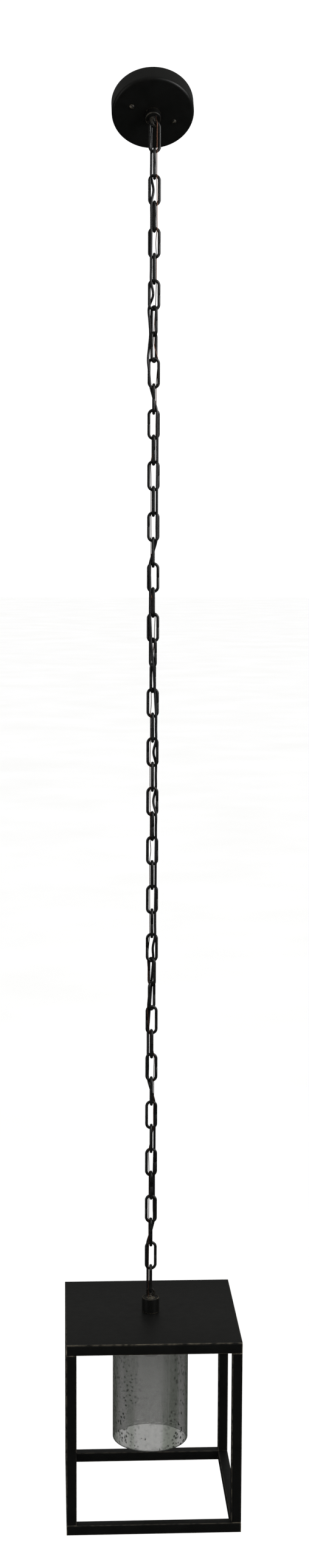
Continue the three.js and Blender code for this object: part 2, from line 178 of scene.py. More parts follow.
def length_setting(name, description, default, low, high):
    """A length; its default and its limits are in millimetres."""
    return FloatProperty(
        name=name, description=description, default=default * MM, min=low * MM, max=high * MM,
        subtype="DISTANCE", unit="LENGTH")


class LanternMetal(bpy.types.PropertyGroup):
    """Finish of the painted metal"""
    coat: colour_setting(
        "Powder coat", "Colour of the coat on frame, canopy and collar", (0.0018, 0.0019, 0.0015))
    lacquer: colour_setting(
        "Chain lacquer", "Colour of the lacquer on the chain", (0.0016, 0.0017, 0.0014))
    edge_radius: length_setting(
        "Tube corner radius", "Outside corner radius of the square tube", 1.3, 0.3, 3)
    seam_depth: length_setting(
        "Link seam depth", "How deep the butt seam of each link is cut", 0.32, 0, 1)


class LanternCord(bpy.types.PropertyGroup):
    """Sizes and colours of the cord and the ground wire"""
    cord_radius: length_setting("Cord radius", "Radius of the supply cord's jacket", 2.0, 1, 2.2)
    ground_radius: length_setting(
        "Ground wire radius", "Radius of the bare ground wire", 0.62, 0.4, 1)
    jacket: colour_setting(
        "Jacket", "Colour of the cord's vinyl jacket", (0.0050, 0.0050, 0.0055))
    step: length_setting("Sample step", "Distance between rings of the strands", 3.0, 1, 8)


class LanternGlass(bpy.types.PropertyGroup):
    """Shape and tint of the glass cylinder"""
    tint: colour_setting(
        "Smoke", "Share of light that one wall of the glass lets through", (0.39, 0.39, 0.38))
    seeds: IntProperty(
        name="Seeds", description="Number of small bubbles in the wall",
        default=130, min=0, max=300)
    seed_size: length_setting("Seed size", "Radius of the largest bubble", 1.4, 0.2, 1.5)


# ---- modelling helpers -------------------------------------------------------------------------
def select_only(piece):
    """Leaves just one object selected and active."""
    bpy.ops.object.select_all(action="DESELECT")
    piece.select_set(True)
    bpy.context.view_layer.objects.active = piece


def discard(*pieces):
    """Removes helper objects."""
    for piece in pieces:
        bpy.data.objects.remove(piece, do_unlink=True)


def apply_transform():
    """Writes the selected objects' places into their meshes."""
    bpy.ops.object.transform_apply(location=True, rotation=True, scale=True)


@contextmanager
def editing(piece):
    """Edit mode on just one object, for the lines inside."""
    select_only(piece)
    bpy.ops.object.mode_set(mode="EDIT")
    yield
    bpy.ops.object.mode_set(mode="OBJECT")


def weld(distance):
    """In edit mode, merges vertices closer than a distance and turns all faces outwards."""
    bpy.ops.mesh.select_all(action="SELECT")
    bpy.ops.mesh.remove_doubles(threshold=distance)
    bpy.ops.mesh.normals_make_consistent(inside=False)


def begin(name, primitive, **settings):
    """Adds a primitive at its size and place and names it."""
    bpy.ops.object.select_all(action="DESELECT")
    primitive(**settings)
    piece = bpy.context.object
    piece.name = name
    piece.data.name = name
    return piece


def choose(piece, kind, test):
    """In edit mode, selects the vertices, edges or faces that pass a test."""
    bpy.ops.mesh.select_mode(type={"verts": "VERT", "edges": "EDGE", "faces": "FACE"}[kind])
    bpy.ops.mesh.select_all(action="DESELECT")
    mesh = bmesh.from_edit_mesh(piece.data)
    for element in getattr(mesh, kind):
        if test(element):
            element.select_set(True)
    mesh.select_flush_mode()
    bmesh.update_edit_mesh(piece.data)


def apply_modifier(piece, kind, **settings):
    """Adds a modifier with its settings and applies it."""
    select_only(piece)
    modifier = piece.modifiers.new(kind.title(), kind)
    for setting, value in settings.items():
        setattr(modifier, setting, value)
    bpy.ops.object.modifier_apply(modifier=modifier.name)


def combine(piece, other, operation):
    """Joins another solid to a piece or cuts it away, and removes the other solid."""
    apply_modifier(piece, "BOOLEAN", object=other, operation=operation, solver="EXACT")
    discard(other)


def rounded(corners, steps=4):
    """An outline of [radius, height] points in which each corner with a fillet is a short curve."""
    outline = []
    for k, (x, z, fillet) in enumerate(corners):
        corner = Vector((x, z))
        if not fillet:
            outline.append(corner)
            continue
        before = Vector(corners[k - 1][:2])
        after = Vector(corners[(k + 1) % len(corners)][:2])
        start = corner + (before - corner).normalized() * fillet
        end = corner + (after - corner).normalized() * fillet
        for s in range(steps + 1):
            t = s / steps
            outline.append(start.lerp(corner, t).lerp(corner.lerp(end, t), t))
    return outline


def in_mm(corners):
    """Corners given in millimetres, in metres."""
    return [tuple(value * MM for value in corner) for corner in corners]


def spun(name, outline, steps=48, closed=True):
    """A turned piece: one vertex drawn out along the outline and spun round Z."""
    piece = begin(name, bpy.ops.mesh.primitive_plane_add, size=MM)
    points = [Vector((x, 0, z)) for x, z in outline]
    with editing(piece):
        bpy.ops.mesh.select_mode(type="VERT")
        bpy.ops.mesh.merge(type="CENTER")
        bpy.ops.transform.translate(value=points[0])
        for here, there in zip(points, points[1:] + (points[:1] if closed else [])):
            bpy.ops.mesh.extrude_region_move(TRANSFORM_OT_translate={"value": there - here})
        bpy.ops.mesh.select_all(action="SELECT")
        bpy.ops.mesh.spin(steps=steps, angle=2 * math.pi, center=(0, 0, 0), axis=(0, 0, 1))
        weld(0.004 * MM)
    return piece


def threaded(radius, depth, low, high, pitch):
    """Outline points up a thread's flanks between two heights, in metres."""
    turns = max(1, round((high - low) / pitch))
    points = []
    for k in range(turns):
        z = low + (high - low) * k / turns
        points += [(radius - depth, z), (radius, z + (high - low) * 0.5 / turns)]
    return points + [(radius - depth, high)]


def block(name, low, high):
    """A block between two corners."""
    low, high = Vector(low), Vector(high)
    piece = begin(name, bpy.ops.mesh.primitive_cube_add, size=1, location=(low + high) / 2,
                  scale=high - low)
    apply_transform()
    return piece


def bar(name, low, high, radius, along):
    """A block with its long edges rounded; along is the axis that they run on, 0 to 2."""
    piece = block(name, low, high)
    round_long_edges(piece, radius, along)
    return piece


def round_long_edges(piece, radius, along):
    """Bevels the edges that run along one axis."""
    def is_long(edge):
        run = edge.verts[1].co - edge.verts[0].co
        return abs(run[along]) > 0.8 * run.length and run.length > 4 * radius
    with editing(piece):
        choose(piece, "edges", is_long)
        bpy.ops.mesh.bevel(offset=radius, segments=4, affect="EDGES")


def copied(piece, name, turn):
    """A copy with a mesh of its own, turned by a matrix."""
    other = piece.copy()
    other.data = piece.data.copy()
    other.name = name
    other.data.name = name
    bpy.context.collection.objects.link(other)
    other.matrix_world = turn @ piece.matrix_world
    return other


def settle(piece, place, body, finish, nodes=(), angle=35):
    """Puts a finished piece in its place, gives it its material, hangs it on its body and hides the
    frame nodes that it stands for.
    """
    slot, material = finish
    piece.matrix_world = place @ piece.matrix_world
    select_only(piece)
    apply_transform()
    bpy.ops.object.shade_smooth_by_angle(angle=math.radians(angle))
    piece.data.materials.clear()
    piece.data.materials.append(material)
    if nodes:
        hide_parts(*nodes)
    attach(piece, body)
    return piece


def repaint(node, finish):
    """Gives a frame node that keeps its own shape a better material."""
    piece = frame["nodes"][node]
    piece.data.materials.clear()
    piece.data.materials.append(finish[1])


# ---- materials ---------------------------------------------------------------------------------
# Sizes and depths of textures are in millimetres. A finish is a slot's name and its material.
def linear(hex_colour):
    """An sRGB hex colour as linear RGBA."""
    channels = [int(hex_colour[k:k + 2], 16) / 255 for k in (1, 3, 5)]
    return [c / 12.92 if c <= 0.04045 else ((c + 0.055) / 1.055) ** 2.4 for c in channels] + [1]


def fill(tree, node, inputs):
    """Links sockets to a node's inputs, and sets the inputs that have plain values."""
    for socket, value in inputs.items():
        if isinstance(value, bpy.types.NodeSocket):
            tree.links.new(value, node.inputs[socket])
        else:
            node.inputs[socket].default_value = value


def add_node(tree, kind, inputs=None, **settings):
    """Adds a node, sets its settings, and fills its inputs."""
    node = tree.nodes.new(kind)
    for setting, value in settings.items():
        setattr(node, setting, value)
    fill(tree, node, inputs or {})
    return node


def blank_material(name):
    """A material of that name with its shader, its tree and object coordinates."""
    material = bpy.data.materials.get(name) or bpy.data.materials.new(name)
    material.use_nodes = True
    tree = material.node_tree
    tree.nodes.clear()
    shader = add_node(tree, "ShaderNodeBsdfPrincipled")
    add_node(tree, "ShaderNodeOutputMaterial", {"Surface": shader.outputs["BSDF"]})
    place = add_node(tree, "ShaderNodeTexCoord").outputs["Object"]
    return material, tree, shader, place


def noise(tree, place, size, detail=2, **more):
    """A noise with features of that size."""
    inputs = {"Vector": place, "Scale": 1 / (size * MM), "Detail": detail, **more}
    return add_node(tree, "ShaderNodeTexNoise", inputs).outputs["Fac"]


def cells(tree, place, size, feature="F1"):
    """Distance to the nearest cell's middle, as a share of the cells' size."""
    inputs = {"Vector": place, "Scale": 1 / (size * MM)}
    return add_node(tree, "ShaderNodeTexVoronoi", inputs, feature=feature).outputs["Distance"]


def stretched(tree, place, scale):
    """Coordinates with a scale for each axis; below 1 draws a texture out along it."""
    return add_node(tree, "ShaderNodeMapping", {"Vector": place, "Scale": scale}).outputs["Vector"]


def spread(tree, source, low, high, start=0.35, end=0.65):
    """A value from low to high as its source goes from start to end."""
    return add_node(tree, "ShaderNodeMapRange", {
        "Value": source, "From Min": start, "From Max": end, "To Min": low, "To Max": high,
    }).outputs["Result"]


def maths(tree, operation, *values):
    """One operation on one or two values."""
    node = add_node(tree, "ShaderNodeMath", dict(enumerate(values)), operation=operation)
    return node.outputs["Value"]


def tones(tree, source, stops):
    """A colour ramp through (position, linear colour) stops."""
    ramp = add_node(tree, "ShaderNodeValToRGB", {"Fac": source})
    elements = ramp.color_ramp.elements
    for k, (position, colour) in enumerate(stops):
        element = elements[k] if k < len(elements) else elements.new(position)
        element.position = position
        element.color = colour
    return ramp.outputs["Color"]


def mixed(tree, factor, first, second):
    """Two colours mixed by a factor."""
    inputs = {"Factor": factor, 6: first, 7: second}
    return add_node(tree, "ShaderNodeMix", inputs, data_type="RGBA").outputs[2]


def relief(tree, height, strength, depth):
    """A normal that shows a height as a relief of that depth."""
    inputs = {"Height": height, "Strength": strength, "Distance": depth * MM}
    return add_node(tree, "ShaderNodeBump", inputs).outputs["Normal"]


def dusted(colour, gain):
    """The same colour lighter, as where dust or wear lies on it."""
    return [min(1, c * gain + 0.0006 * gain) for c in colour[:3]] + [1]


def edge_mask(tree, radius):
    """Near 1 on edges with about that radius, and 0 on flats."""
    soft = add_node(tree, "ShaderNodeBevel", {"Radius": radius * MM}, samples=4).outputs["Normal"]
    true = add_node(tree, "ShaderNodeNewGeometry").outputs["Normal"]
    same = add_node(tree, "ShaderNodeVectorMath", {0: soft, 1: true}, operation="DOT_PRODUCT")
    return spread(tree, same.outputs["Value"], 0.0, 1.0, 0.995, 0.90)


def powder_coat(colour):
    """Satin black powder coat, baked on: even and dark, with a fine pebbled skin. Its edges are
    lighter in patches: partly wear where the coat is thin, partly a painted highlight of lit edges."""
    material, tree, shader, place = blank_material("powder_coat_satin_black")
    base = [*colour, 1]
    clouds = noise(tree, place, 45, 4, Roughness=0.6)
    ground = tones(tree, clouds, [(0.35, base), (0.7, dusted(base, 1.15))])
    # Painted highlight along all edges, in patches, partly also wear where the coat is thin.
    patches = spread(tree, noise(tree, place, 9, 5), 0.05, 0.75, 0.38, 0.58)
    edge_wear_and_painted_highlight = maths(tree, "MULTIPLY", edge_mask(tree, 1.6), patches)
    # Pebbles of about 1 mm, drawn at 2 mm so that they show.
    pebbles = cells(tree, place, 2.0, feature="SMOOTH_F1")
    fill(tree, shader, {
        "Base Color": mixed(tree, edge_wear_and_painted_highlight, ground, linear("#7d7564")),
        "Roughness": spread(tree, noise(tree, place, 14, 3), 0.37, 0.44),
        "Specular IOR Level": 0.34,
        "Normal": relief(tree, pebbles, 0.10, 0.15),
    })
    return "black_powder_coat", material


def chain_lacquer(colour):
    """Black lacquer dipped over steel wire: glossier than the coat, and rubbed thin to grey in
    patches scattered over the links."""
    material, tree, shader, place = blank_material("dipped_lacquer_black")
    base = [*colour, 1]
    runs = noise(tree, place, 6, 4, Distortion=0.4)
    fill(tree, shader, {
        "Base Color": tones(tree, runs, [
            (0.35, base), (0.66, dusted(base, 1.8)), (0.8, linear("#262522"))]),
        "Roughness": spread(tree, runs, 0.24, 0.42),
        "Specular IOR Level": 0.55,
        "Normal": relief(tree, noise(tree, place, 3), 0.14, 0.25),
    })
    return "black_chain", material


def cord_vinyl(colour):
    """Extruded soft vinyl: a smooth glossy black skin with slow waves along it."""
    material, tree, shader, place = blank_material("extruded_vinyl_black")
    fill(tree, shader, {
        "Base Color": [*colour, 1],
        "Roughness": spread(tree, noise(tree, place, 18, 3), 0.16, 0.30),
        "Specular IOR Level": 0.6,
        "Normal": relief(tree, noise(tree, place, 7, 1), 0.2, 0.4),
    })
    return "cord_jacket", material


def plain_metal(slot, name, light, dark, roughness, grain_size, stretch=(1, 1, 1)):
    """A bare or plated metal: two close tones in a fine grain that also varies the gloss."""
    material, tree, shader, place = blank_material(name)
    grain = noise(tree, stretched(tree, place, stretch), grain_size, 5, Roughness=0.65)
    fill(tree, shader, {
        "Base Color": tones(tree, grain, [(0.3, linear(dark)), (0.7, linear(light))]),
        "Roughness": spread(tree, grain, roughness - 0.07, roughness + 0.09),
        "Metallic": 1.0,
        "Normal": relief(tree, grain, 0.08, 0.1),
    })
    return slot, material


def phenolic():
    """Moulded phenolic: hard, nearly black with brown in it, and half glossy from its mould."""
    material, tree, shader, place = blank_material("moulded_phenolic_black")
    flow = noise(tree, place, 8, 6, Distortion=1.2)
    fill(tree, shader, {
        "Base Color": tones(tree, flow, [(0.3, linear("#100d0b")), (0.75, linear("#1f1914"))]),
        "Roughness": spread(tree, flow, 0.30, 0.44),
    })
    return "black_phenolic", material


def smoked_glass(tint):
    """Blown smoked glass: grey, clear enough to see through twice, with a faint milky veil and
    seeds that show as dark specks, and upright darker bands that are painted reflections of the
    frame's posts. It is darker where the eye looks along the wall: at the sides and in the
    fire-polished rim."""
    material, tree, shader, place = blank_material("blown_glass_smoked")
    # Painted reflections: upright darker bands, in the deep colour, stand for the frame's posts
    # reflected in the glass.
    painted_reflection_bands = noise(tree, stretched(tree, place, (1, 1, 0.06)), 34)
    clear, deep = [*tint, 1], [tint[0] * 0.58, tint[1] * 0.62, tint[2] * 0.56, 1]
    smoke = tones(tree, painted_reflection_bands, [(0.40, deep), (0.56, clear)])
    along = add_node(tree, "ShaderNodeLayerWeight", {"Blend": 0.22}).outputs["Facing"]
    axes = add_node(tree, "ShaderNodeSeparateXYZ", {"Vector": place}).outputs
    rim = spread(tree, axes["Z"], 1.0, 0.0, GLASS_RIM, GLASS_RIM + 3.4 * MM)
    # Seeds of 1 mm, drawn at about 4 mm so that they show, about 7 mm apart. They are thickest
    # low down, towards the two sides and in cloudy patches.
    seeds = spread(tree, cells(tree, place, 7.0), 1.0, 0.0, 0.25, 0.33)
    aside = maths(tree, "ABSOLUTE", maths(tree, "SUBTRACT", axes["X"], LANTERN_ORIGIN.x))
    for share in (
        spread(tree, noise(tree, place, 40), 0.45, 1.0, 0.36, 0.46),
        spread(tree, axes["Z"], 1.0, 0.6, GLASS_RIM, GLASS_RIM + 170 * MM),
        spread(tree, aside, 0.25, 1.0, 14 * MM, 38 * MM),
    ):
        seeds = maths(tree, "MULTIPLY", seeds, share)
    dark = maths(tree, "MAXIMUM", maths(tree, "MAXIMUM", along, rim), seeds)
    fill(tree, shader, {
        "Base Color": mixed(tree, dark, smoke, linear("#1d1e1b")),
        "Roughness": 0.03,
        "Transmission Weight": 0.72,
        "IOR": 1.5,
        "Normal": relief(tree, seeds, 0.3, 1.0),
    })
    return "smoked_glass", material


def seed_glass():
    """The skin of a bubble, which bends the light away and so looks darker than the smoke."""
    material, tree, shader, place = blank_material("blown_glass_seed")
    fill(tree, shader, {
        "Base Color": linear("#3c3d38"),
        "Roughness": spread(tree, noise(tree, place, 2), 0.04, 0.12),
        "Transmission Weight": 1.0,
        "IOR": 1.12,
    })
    return "smoked_glass", material


def matte_floor():
    """Matte white board, with a faint mottle so that it isn't one flat colour."""
    material, tree, shader, place = blank_material("matte_white_board")
    mottle = noise(tree, place, 900, 3)
    fill(tree, shader, {
        "Base Color": tones(tree, mottle, [(0.3, linear("#f2f2f1")), (0.7, linear("#f6f6f6"))]),
        "Roughness": 0.9,
        "Specular IOR Level": 0.1,
    })
    return material


def metal_paint(context):
    return powder_coat(context.scene.lantern_metal.coat)


def zinc():
    return plain_metal(
        "zinc_plated_steel", "zinc_plated_steel", "#b4b6b3", "#8a8c8a", 0.36, 1.5)


def green_zinc():
    return plain_metal("green_screw", "green_chromate_steel", "#3d8050", "#225a35", 0.38, 1.5)


def brass():
    return plain_metal("socket_brass", "drawn_brass", "#c09a55", "#93733a", 0.30, 1.2)


def copper():
    """Bare drawn copper: pinkish brown where air has dulled it, brighter along the draw."""
    return plain_metal(
        "bare_copper", "drawn_copper", "#9c7260", "#5e4335", 0.42, 1.5, stretch=(1, 1, 0.2))


# ---- strands -----------------------------------------------------------------------------------
def beside_planes(turn_a, side_a, turn_b, side_b, z):
    """The point that lies a given distance to one side of each of two upright planes."""
    scale = 1 / math.sin(turn_b - turn_a)
    x = (side_a * math.cos(turn_b) - side_b * math.cos(turn_a)) * scale
    y = (side_a * math.sin(turn_b) - side_b * math.sin(turn_a)) * scale
    return Vector((x, y, z))


def strand_route(side, through, woven, across_side, first_side):
    """Points down the chain for a strand that changes sides through each woven link. It runs
    at a distance (side) from the links' planes, and (through) from the middle of woven ones."""
    def turn(i):
        return math.radians(LANTERN_EYE_TURN + 360) if i > LINK_COUNT else link_turn(i)
    sides = {}
    facing = first_side
    for i in range(1, LINK_COUNT + 2):
        above = facing if i % 2 else across_side
        if i in woven:
            facing = -facing
        sides[i] = (above, facing if i % 2 else across_side)
    junction = [
        beside_planes(turn(1), side * sides[1][0], turn(2), side * sides[2][0], top_wire(1)),
    ]
    for i in range(1, LINK_COUNT + 1):
        z = LINK_CENTRE[i] - LINK_LENGTH / 2 + 2 * LINK_WIRE
        junction.append(beside_planes(
            turn(i), side * sides[i][1], turn(i + 1), side * sides[i + 1][0], z))
    points = [junction[0]]
    for i in range(1, LINK_COUNT + 1):
        middle = (junction[i - 1] + junction[i]) / 2
        if i in woven:
            along = Vector((math.cos(turn(i)), math.sin(turn(i)), 0))
            middle = along * math.copysign(through, middle.dot(along))
        middle.z = LINK_CENTRE[i]
        points += [middle, junction[i]]
    return [point + CHAIN_ORIGIN for point in points]


def on_curve(corners, knots, t):
    """The point at t of the centripetal curve between the second and third of four corners."""
    def between(start, end, low, high):
        return start.lerp(end, (t - knots[low]) / (knots[high] - knots[low]))
    a, b, c, d = corners
    first, second, third = between(a, b, 0, 1), between(b, c, 1, 2), between(c, d, 2, 3)
    return between(between(first, second, 0, 2), between(second, third, 1, 3), 1, 2)


def smooth_path(points, step):
    """Closely spaced samples of a centripetal curve through the points."""
    ends = [points[0] * 2 - points[1], *points, points[-1] * 2 - points[-2]]
    samples = []
    for corners in zip(ends, ends[1:], ends[2:], ends[3:]):
        knots = [0.0]
        for here, there in zip(corners, corners[1:]):
            knots.append(knots[-1] + (there - here).length ** 0.5)
        count = max(2, round((corners[2] - corners[1]).length / step))
        for k in range(count):
            samples.append(on_curve(corners, knots, knots[1] + (knots[2] - knots[1]) * k / count))
    return samples + [points[-1].copy()]


def tube(name, points, radius):
    """A round strand along the points, closed at both ends."""
    curve = bpy.data.curves.new(name, "CURVE")
    curve.dimensions = "3D"
    curve.bevel_depth = radius
    curve.bevel_resolution = 3
    curve.use_fill_caps = True
    spline = curve.splines.new("POLY")
    spline.points.add(len(points) - 1)
    for target, point in zip(spline.points, points):
        target.co = (*point, 1)
    piece = bpy.data.objects.new(name, curve)
    bpy.context.collection.objects.link(piece)
    select_only(piece)
    bpy.ops.object.convert(target="MESH")
    piece = bpy.context.object
    with editing(piece):
        weld(0.01 * MM)
    bpy.ops.object.shade_smooth_by_angle(angle=math.radians(60))
    return piece


def run_of(i):
    """Which chain run a link belongs to, counted from 1."""
    return sum(1 for start in RUN_STARTS if start <= i)


RUN_LAST = [start - 1 for start in RUN_STARTS[1:]] + [LINK_COUNT]
RUN_NODES = [f"chain_links_{a:02d}_{b:02d}" for a, b in zip(RUN_STARTS, RUN_LAST)]
HANGING = ["canopy", *(f"chain_{k + 1}" for k in range(len(RUN_STARTS))), "lantern"]


def hang_strand(kind, points, radius, step, finish):
    """Makes a strand in pieces that each cross one joint and meet halfway down a run."""
    slot, material = finish
    samples = smooth_path(points, step)
    halfway = [
        CHAIN_ORIGIN.z + (LINK_CENTRE[first] + LINK_CENTRE[last]) / 2
        for first, last in zip(RUN_STARTS, RUN_LAST)
    ]
    cuts = [0]
    for z in halfway:
        cuts.append(next(n for n, sample in enumerate(samples) if sample.z < z))
    cuts.append(len(samples) - 1)
    for k, (first, last) in enumerate(zip(cuts, cuts[1:])):
        name = f"{kind}_{HANGING[k]}_to_{HANGING[k + 1]}"
        piece = tube(name, samples[first:last + 1], radius)
        piece.data.materials.append(material)
        nodes = [f"{kind}_run_{k + 1}"] if k < len(RUN_STARTS) else [f"{kind}_lantern"]
        if k == 0:
            nodes.append(f"{kind}_canopy")
        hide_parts(*nodes)
        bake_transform(piece)


def in_canopy(points):
    """Points given in millimetres in the canopy's frame."""
    return [CANOPY_PLACE @ (Vector(point) * MM) for point in points]


def in_lantern(points):
    """Points given in metres in the lantern's frame."""
    return [LANTERN_PLACE @ Vector(point) for point in points]


CORD_ROUTE = strand_route(
    side=5.1 * MM, through=1.6 * MM, woven=CORD_WOVEN, across_side=1, first_side=1)
GROUND_ROUTE = strand_route(
    side=3.6 * MM, through=2.2 * MM, woven=GROUND_WOVEN, across_side=-1, first_side=-1)
CORD_HOLE = (CORD_ROUTE[-1] - CHAIN_ORIGIN).to_2d()
GROUND_HOLE = (GROUND_ROUTE[-1] - CHAIN_ORIGIN).to_2d()


# ---- outlines of the turned pieces: [radius, height, fillet] in millimetres --------------------
# Canopy pieces are measured from the ceiling, hub, foot and collar from their own seats, and the
# rest from the lantern's underside.
PAN = (
    (5.3, -29, 0.3), (62.5, -29, 5.2), (62.5, -1.6, 0.5), (62.5, 0, 0.3), (61.1, 0, 0.3),
    (61.1, -27.6, 3.8), (5.3, -27.6, 0.3),
)
HUB = ((5.3, 0, 0.2), (12, 0, 0.4), (12, 12, 1.8), (3.3, 12, 0.2))
EYE_FOOT = (
    (0, -4.2, 0), (3, -4.2, 0.3), (3, 0.02, 0), (5.2, 0.02, 0.3), (5.2, 1.1, 0.5), (2.9, 1.9, 0.7),
    (2.3, 3.3, 0.2), (0, 3.3, 0),
)
COLLAR = (
    (5.3, 0, 0.2), (14, 0, 0.9), (14, 24, 1.3), (12.2, 24, 0.5), (11.2, 22.6, 0.7),
    (6.9, 22.6, 0.6), (6.4, 24, 0.3), (3.3, 24, 0.2),
)
SOCKET_CAP = (
    (5.3, 304, 0.2), (22, 304, 1.4), (26, 300, 1.4), (26, 280.8, 0.4), (24.8, 280.6, 0.4),
    (24.8, 299.6, 1.2), (21.4, 302.8, 1.2), (5.3, 302.8, 0.2),
)
SOCKET_RIBS = [(19 - 0.35 * (k % 2), 244.5 + 1.5 * k, 0) for k in range(19)]
SOCKET = (
    (14.4, 243, 0.3), (18.6, 243, 0.5), *SOCKET_RIBS, (19, 277.3, 0.2), (24, 277.3, 0.5),
    (24, 280.3, 0.5), (19, 280.3, 0.3), (19, 296, 1.6), (4.5, 296, 0.3), (4.5, 277, 0),
    (14.4, 277, 0),
)
RING_GRIP = [(27.5 - 0.5 * (k % 2), 267 + 0.9 * k, 0) for k in range(6)]
RETAINING_RING = (
    (19.3, 266.5, 0.3), (25, 266.5, 0.8), *RING_GRIP, (27.5, 272.7, 0.4), (19.3, 272.7, 0.3),
)
GLASS = (
    (20.3, 277, 1.2), (61, 277, 6.5), (61, 100, 1.6), (57.5, 100, 1.6), (57.5, 273, 4.5),
    (20.3, 273, 1.2),
)
# These have no fillets.
SCREW_DOME = ((0, -2.6), (1.5, -2.48), (2.7, -2.05), (3.5, -1.35), (3.95, -0.5), (4.0, 0))
SHELL_WALL = 0.55
SHELL_THREAD = [
    (radius, 245 + 3.6 * k + rise)
    for k in range(8)
    for radius, rise in ((13.2, 0), (13.6, 0.9), (14.05, 1.8), (13.6, 2.7))
] + [(13.3, 275.4)]
SCREW_SHELL = (
    *SHELL_THREAD, (12.6, 276.6), (9, 276.7), (9, 276.1), (12.2, 276.0),
    *((radius - SHELL_WALL, z) for radius, z in reversed(SHELL_THREAD)),
)
CONTACT = (
    (0, 271.7), (1.4, 271.8), (2.4, 272.4), (2.6, 273.4), (2.7, 275.1), (6.2, 275.2),
    (6.4, 275.5), (6.4, 276.7), (0, 276.7),
)

# ---- other sizes -------------------------------------------------------------------------------
NIPPLE_RADIUS = 5.0 * MM
NIPPLE_BORE = 3.6 * MM
NUT_RADIUS = 8.6 * MM
NUT_BORE = 5.25 * MM
# These are in millimetres.
CORD_MM, GROUND_MM = 2, 0.65         # radii that the bushings hold
GLASS_WALL = 59.25                   # radius to the middle of the wall
SEED_HEIGHTS = (102, 165)            # where the lowest seed is, and how far up they reach
SEED_TURNS = (215, 75)               # degrees: where they are thickest, and their spread


def lathe(name, corners, curve=4, steps=48, closed=True):
    """A turned piece from [radius, height, fillet] corners in millimetres."""
    return spun(name, rounded(in_mm(corners), steps=curve), steps, closed)


# ---- shapes that are used more than once -------------------------------------------------------
def slotted_screw(name, place, head, shank, length, slot_turn, finish, node):
    """A domed screw with a cut slot; its head hangs below z = 0 and its thread goes up."""
    dome_radius = SCREW_DOME[-1][0] * MM
    outline = [(x * head / dome_radius, z) for x, z in in_mm(SCREW_DOME)]
    outline += threaded(shank, depth=0.22 * MM, low=0.1 * MM, high=length, pitch=0.9 * MM)
    screw = spun(name, outline + [(0, length)], steps=28, closed=False)
    cutter = bar("cutter", (-head, -0.5 * MM, -3 * MM), (head, 0.5 * MM, -1.5 * MM), 0.1 * MM, 0)
    combine(screw, cutter, "DIFFERENCE")
    return settle(screw, place @ z_turn(slot_turn), "canopy", finish, [node], angle=30)


def threaded_nipple(name, low, high, place, body, finish, node):
    """A short threaded tube."""
    outline = threaded(NIPPLE_RADIUS, depth=0.3 * MM, low=low, high=high, pitch=1.0 * MM)
    outline += [(NIPPLE_BORE, high), (NIPPLE_BORE, low)]
    return settle(spun(name, outline, steps=36), place, body, finish, [node], angle=30)


def lock_nut(name, low, high, place, body, finish, node):
    """A hexagon nut with chamfered corners and a bore."""
    middle = (0, 0, (low + high) / 2)
    nut = begin(name, bpy.ops.mesh.primitive_cylinder_add, vertices=6, radius=NUT_RADIUS,
                depth=high - low, location=middle)
    apply_modifier(nut, "BEVEL", width=0.45 * MM, segments=2, limit_method="ANGLE")
    bore = begin("bore", bpy.ops.mesh.primitive_cylinder_add, vertices=36, radius=NUT_BORE,
                 depth=2 * (high - low), location=middle)
    combine(nut, bore, "DIFFERENCE")
    return settle(nut, place, body, finish, [node], angle=30)


def cast_eye(name, place, body, finish, node):
    """A cast eye: a round ring that grows out of a small flared foot."""
    ring = begin(
        name, bpy.ops.mesh.primitive_torus_add, major_radius=EYE_RADIUS, minor_radius=EYE_WIRE,
        major_segments=44, minor_segments=18, location=(0, 0, EYE_HEIGHT),
        rotation=(math.pi / 2, 0, 0))
    combine(ring, lathe("foot", EYE_FOOT, steps=36, closed=False), "UNION")
    return settle(ring, place, body, finish, [node], angle=50)


def cord_bushing(name, hole, radius, place, body, finish):
    """A snap-in bushing round a strand of that radius in millimetres, where it enters metal."""
    inner, outer, lip = radius + 0.05, radius + 0.75, radius + 1.1
    ring = lathe(name, (
        (inner, -1.4, 0.1), (outer, -1.4, 0.1), (outer, 0.01, 0), (lip, 0.01, 0.1),
        (lip, 0.7, 0.25), (inner, 0.8, 0.3),
    ), curve=2, steps=28)
    return settle(ring, place @ Matrix.Translation((*hole, 0)), body, finish)


# ---- operators ---------------------------------------------------------------------------------
class LANTERN_OT_canopy(bpy.types.Operator):
    """Canopy pan, its two face screws, and the hub and eye that the chain hangs on"""
    bl_idname = "lantern.canopy"
    bl_label = "Canopy"

    def execute(self, context):
        coat = metal_paint(context)
        pan = lathe("canopy_pan", PAN, curve=7, steps=112)
        settle(pan, CANOPY_PLACE, "canopy", coat, ["canopy_shell"])
        turn = math.radians(SCREW_TURN)
        reach = Vector((math.cos(turn), math.sin(turn), 0)) * SCREW_REACH
        under = Vector((0, 0, CANOPY_FACE - 0.02 * MM))
        for side, sign, slot_turn in (("left", -1, 33), ("right", 1, -48)):
            place = CANOPY_PLACE @ Matrix.Translation(sign * reach + under)
            slotted_screw(
                f"canopy_face_screw_{side}", place, head=4 * MM, shank=1.9 * MM,
                length=28.6 * MM, slot_turn=slot_turn, finish=coat, node=f"canopy_screw_{side}")
        hanging = Matrix.Rotation(math.pi, 4, "X")
        on_face = CANOPY_PLACE @ Matrix.Translation((0, 0, CANOPY_FACE - GAP)) @ hanging
        hub = lathe("canopy_hub_boss", HUB, curve=6, steps=56)
        settle(hub, on_face, "canopy", coat, ["canopy_hub"])
        on_hub = CANOPY_PLACE @ Matrix.Translation((0, 0, CANOPY_SEAT)) @ hanging
        cast_eye("canopy_eye", on_hub @ z_turn(-CANOPY_EYE_TURN), "canopy", coat, "canopy_loop")
        for strand, hole, radius in (
            ("cord", (-4.95, -4.95), CORD_MM), ("ground", (3.9, 4.6), GROUND_MM),
        ):
            cord_bushing(f"canopy_{strand}_bushing", Vector(hole) * MM, radius, on_hub, "canopy",
                         phenolic())
        return {"FINISHED"}


